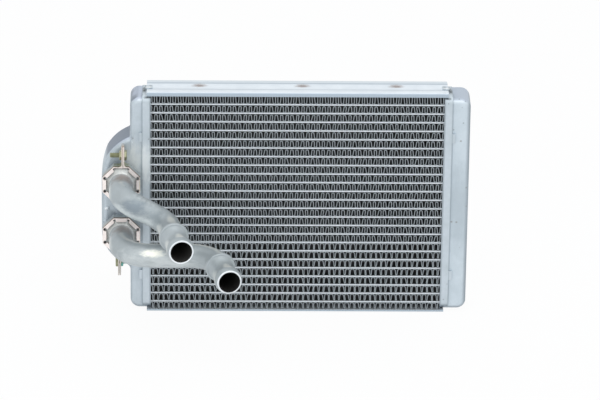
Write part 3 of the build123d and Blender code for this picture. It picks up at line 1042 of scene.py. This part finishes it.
class Turned:
    """A solid that grows along X, rim by rim, from a capped disc."""

    def __init__(self, shape: Shape, start: Point, radius: float, sides: int) -> None:
        """Add the disc.

        Args:
            shape: The bmesh that takes the solid.
            start: The disc's middle.
            radius: The distance to its corners.
            sides: How many sides it has.
        """
        x, y, z = start
        turn = Matrix(((0, 0, -1, x), (0, 1, 0, y), (1, 0, 0, z), (0, 0, 0, 1)))
        made = bmesh.ops.create_circle(shape, cap_ends=True, segments=sides, radius=radius, matrix=turn)["verts"]
        self.shape = shape
        self.rim = list(dict.fromkeys(edge for vert in made for edge in vert.link_edges))
        self.centre = Matrix.Translation((0, -y, -z))

    def extend(self, step: float, scale: float = 1.0) -> None:
        """Draw the rim out along X and widen or narrow it.

        Args:
            step: How far it goes along X.
            scale: How much wider it becomes.
        """
        made = bmesh.ops.extrude_edge_only(self.shape, edges=self.rim)["geom"]
        verts = [item for item in made if isinstance(item, bmesh.types.BMVert)]
        bmesh.ops.translate(self.shape, vec=(step, 0, 0), verts=verts)
        bmesh.ops.scale(self.shape, vec=(1, scale, scale), space=self.centre, verts=verts)
        edges = [item for item in made if isinstance(item, bmesh.types.BMEdge)]
        self.rim = [edge for edge in edges if all(vert in verts for vert in edge.verts)]

    def close(self) -> None:
        """Close the last rim."""
        bmesh.ops.edgeloop_fill(self.shape, edges=self.rim)


@dataclass
class ClampFasteners:
    """The screws and thin nuts through the clamps' ears."""

    depth_y: float = -21.75
    # Each ear's middle along X, the screw's height and the way it points.
    places: Tuple[Tuple[float, float, Thread], ...] = (
        (-131.7, 131.0, Thread.OUTWARD),
        (-134.6, 44.4, Thread.INWARD),
    )
    ear_half: float = 1.05
    head_across: float = 7.0
    head_length: float = 1.9
    nut_across: float = 6.6
    nut_length: float = 1.8
    radius: float = 2.0
    root: float = 1.62
    pitch: float = 0.8
    length: float = 12.0
    sides: int = 16
    # The length left without a thread. Then how long the point is and how much narrower it becomes,
    # and the same for a hexagon's turned end, as a share of its length.
    plain: float = 0.8
    point: Pair = (0.5, 0.8)
    chamfer: Pair = (0.25, 0.86)

    def build(self, material: Material) -> None:
        """Make the pair of screws and the pair of nuts.

        Args:
            material: The plated steel's finish.
        """
        screws, nuts = bmesh.new(), bmesh.new()
        for ear_x, height, thread in self.places:
            way = thread.value
            head, nut = ((ear_x + side * way * self.ear_half, self.depth_y, height) for side in SIDES)
            self._hexagon(screws, head, -way, self.head_across, self.head_length)
            self._thread(screws, head, way)
            self._hexagon(nuts, nut, way, self.nut_across, self.nut_length)
        for shape, name, node in ((screws, "screw_pair", "clamp_screws"), (nuts, "nut_pair", "clamp_nuts")):
            bmesh.ops.recalc_face_normals(shape, faces=shape.faces)
            seat(new_mesh_object(name, shape, material, 30.0), "screw_steel", node)

    def _hexagon(self, shape: Shape, start: Point, way: int, across: float, length: float) -> None:
        """Add a hexagon with a turned outer end.

        Args:
            shape: The bmesh that takes it.
            start: The middle of its seat.
            way: The way it rises along X.
            across: The width across its flats.
            length: Its length.
        """
        solid = Turned(shape, start, across / 2 / math.cos(math.radians(30)), 6)
        share, scale = self.chamfer
        solid.extend(way * length * (1 - share))
        solid.extend(way * length * share, scale)
        solid.close()

    def _thread(self, shape: Shape, start: Point, way: int) -> None:
        """Add a threaded shank: ridges as fine as the real thread.

        Args:
            shape: The bmesh that takes it.
            start: The middle of its root.
            way: The way it points along X.
        """
        solid = Turned(shape, start, self.radius, self.sides)
        for _ in range(int((self.length - self.plain) / self.pitch)):
            for scale in (self.root / self.radius, self.radius / self.root):
                solid.extend(way * self.pitch / 2, scale)
        length, scale = self.point
        solid.extend(way * length, scale)
        solid.close()


class View:
    """The camera, fitted to the photograph's frame of 600 by 400."""

    azimuth = -1.371
    elevation = 21.504
    roll = 0.754
    distance = 3204.0
    focal_px = 4191.0
    target = (2.96, 0.0, 86.65)
    frame_px = 600.0
    sensor_mm = 36.0

    def build(self) -> None:
        """Place the camera."""
        data = bpy.data.cameras.new("photo_camera")
        data.sensor_width = self.sensor_mm
        data.lens = self.focal_px / self.frame_px * self.sensor_mm
        data.clip_start, data.clip_end = 0.1, 20.0
        camera = bpy.data.objects.new("photo_camera", data)
        bpy.context.scene.collection.objects.link(camera)
        azimuth, elevation, roll = (math.radians(a) for a in (self.azimuth, self.elevation, self.roll))
        level = math.cos(elevation)
        back = Vector((math.sin(azimuth) * level, -math.cos(azimuth) * level, math.sin(elevation)))
        right = Vector((math.cos(azimuth), math.sin(azimuth), 0))
        up = back.cross(right)
        side = right * math.cos(roll) + up * math.sin(roll)
        top = up * math.cos(roll) - right * math.sin(roll)
        turn = Matrix((side, top, back)).transposed().to_4x4()
        camera.matrix_world = Matrix.Translation((Vector(self.target) + back * self.distance) * MM) @ turn
        bpy.context.scene.camera = camera
        log.info("camera placed")


class Studio:
    """A pale floor, a pale surround and soft lamps that face the aim."""

    white = "#ffffff"
    white_share = 0.94
    floor_radius = 6000.0
    aim = (0, 0, 0.09)

    def build(self) -> None:
        """Make the floor, the world and the lamps."""
        scene = bpy.context.scene
        scene.view_settings.view_transform = "Standard"
        self._world(scene)
        self._floor()
        self._lamp("top_lamp", (0.25, -0.75, 1.5), 1.5, 7.0)
        self._lamp("front_lamp", (-0.7, -1.9, 0.6), 1.6, 5.5)

    @staticmethod
    def _world(scene: bpy.types.Scene) -> None:
        """Light the object plainly and show white to the camera and to gloss.

        Args:
            scene: The scene that gets the world.
        """
        world = bpy.data.worlds.new("studio")
        scene.world = world
        tree = empty_tree(world)
        plain = add_node(tree, "Background", {"Color": linear("#f1f4f6"), "Strength": 0.92})
        white = add_node(tree, "Background", {"Color": linear(Studio.white), "Strength": 1.0})
        shown = {0: Studio._looked_at(tree), 1: plain.outputs[0], 2: white.outputs[0]}
        add_node(tree, "OutputWorld", {"Surface": add_node(tree, "MixShader", shown).outputs[0]})

    @staticmethod
    def _looked_at(tree: Tree) -> Socket:
        """Tell whether a ray comes from the camera, from gloss or through glass.

        Args:
            tree: The node tree of the floor or the world.

        Returns:
            A socket that is 1 for those rays.
        """
        rays = add_node(tree, "LightPath").outputs
        share = rays["Is Camera Ray"]
        for name in ("Is Glossy Ray", "Is Transmission Ray"):
            share = add_node(tree, "Math", {0: share, 1: rays[name]}, operation="MAXIMUM").outputs[0]
        return share

    @staticmethod
    def _floor() -> None:
        """Lay the floor under the core."""
        shape = bmesh.new()
        bmesh.ops.create_circle(shape, cap_ends=True, segments=64, radius=Studio.floor_radius)
        material = bpy.data.materials.new("pale_floor")
        tree = empty_tree(material)
        place = add_node(tree, "TexCoord").outputs["Object"]
        tone = add_node(tree, "TexNoise", {"Vector": place, "Scale": 3.0, "Detail": 2.0}).outputs["Fac"]
        tones = {0: tone, 6: linear("#f4f5f6"), 7: linear("#f0f1f2")}
        colour = add_node(tree, "Mix", tones, data_type="RGBA").outputs[2]
        paper = add_node(tree, "BsdfDiffuse", {"Color": colour})
        white = add_node(tree, "Emission", {"Color": linear(Studio.white), "Strength": 1.0})
        # The white stays short of 1, so that the paper's soft shadow under the core still shows.
        share = {0: Studio._looked_at(tree), 1: Studio.white_share}
        part = add_node(tree, "Math", share, operation="MULTIPLY").outputs[0]
        shown = {0: part, 1: paper.outputs[0], 2: white.outputs[0]}
        add_node(tree, "OutputMaterial", {"Surface": add_node(tree, "MixShader", shown).outputs[0]})
        floor = new_mesh_object("floor", shape, material)
        # Just under the core, so that the two do not share a face.
        floor.location.z = -0.02 * MM
        log.info("floor laid")

    @staticmethod
    def _lamp(name: str, place: Point, size: float, power: float) -> None:
        """Hang one soft lamp that faces the core.

        Args:
            name: The lamp's name.
            place: Where it hangs, in metres.
            size: Its width, in metres.
            power: Its power, in watts.
        """
        data = bpy.data.lights.new(name, "AREA")
        data.size = size
        data.energy = power
        lamp = bpy.data.objects.new(name, data)
        lamp.location = place
        lamp.rotation_mode = "QUATERNION"
        lamp.rotation_quaternion = (Vector(Studio.aim) - Vector(place)).to_track_quat("-Z", "Y")
        bpy.context.scene.collection.objects.link(lamp)
        log.info("%s hung", name)


class HeaterCore:
    """The whole core: builds its parts in order and dresses its nodes."""

    def __init__(self) -> None:
        """Make the sub-assemblies."""
        self.fins = FinPack()
        self.tubes = TubeBank()
        self.tanks = TankPair()
        self.pipes = HosePipes()
        self.fasteners = ClampFasteners()

    def build(self) -> None:
        """Build every piece."""
        finishes = Finishes()
        self.fins.build(finishes.fin)
        self.tubes.build(finishes.tube)
        for side, lip in (("top", (176.1, 0.8)), ("bottom", (2.6, 1.0))):
            names = f"{side}_side_plate", f"{side}_plate_sheet"
            softened(*names, 0.5, finishes.plate, "plate_aluminium", 3, lip)
        for node in ("right_header", "left_header"):
            dress(node, finishes.header)
        self.tanks.build(finishes.left_tank, finishes.right_tank)
        for node in ("pass_baffle", "upper_port_collar", "lower_port_collar"):
            dress(node, finishes.left_tank)
        self.pipes.build(finishes.pipe, finishes.bore, finishes.rim)
        for side in ("upper", "lower"):
            softened(f"{side}_clamp", f"{side}_clamp_band", 0.4, finishes.clamp, "clamp_steel")
        self.fasteners.build(finishes.screw)
        dress("port_seals", finishes.rubber)


def main() -> None:
    """Build the core, its light and its camera."""
    logging.basicConfig(level=logging.INFO, format="%(message)s")
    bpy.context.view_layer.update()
    HeaterCore().build()
    Studio().build()
    View().build()


if __name__ == "__main__":
    main()
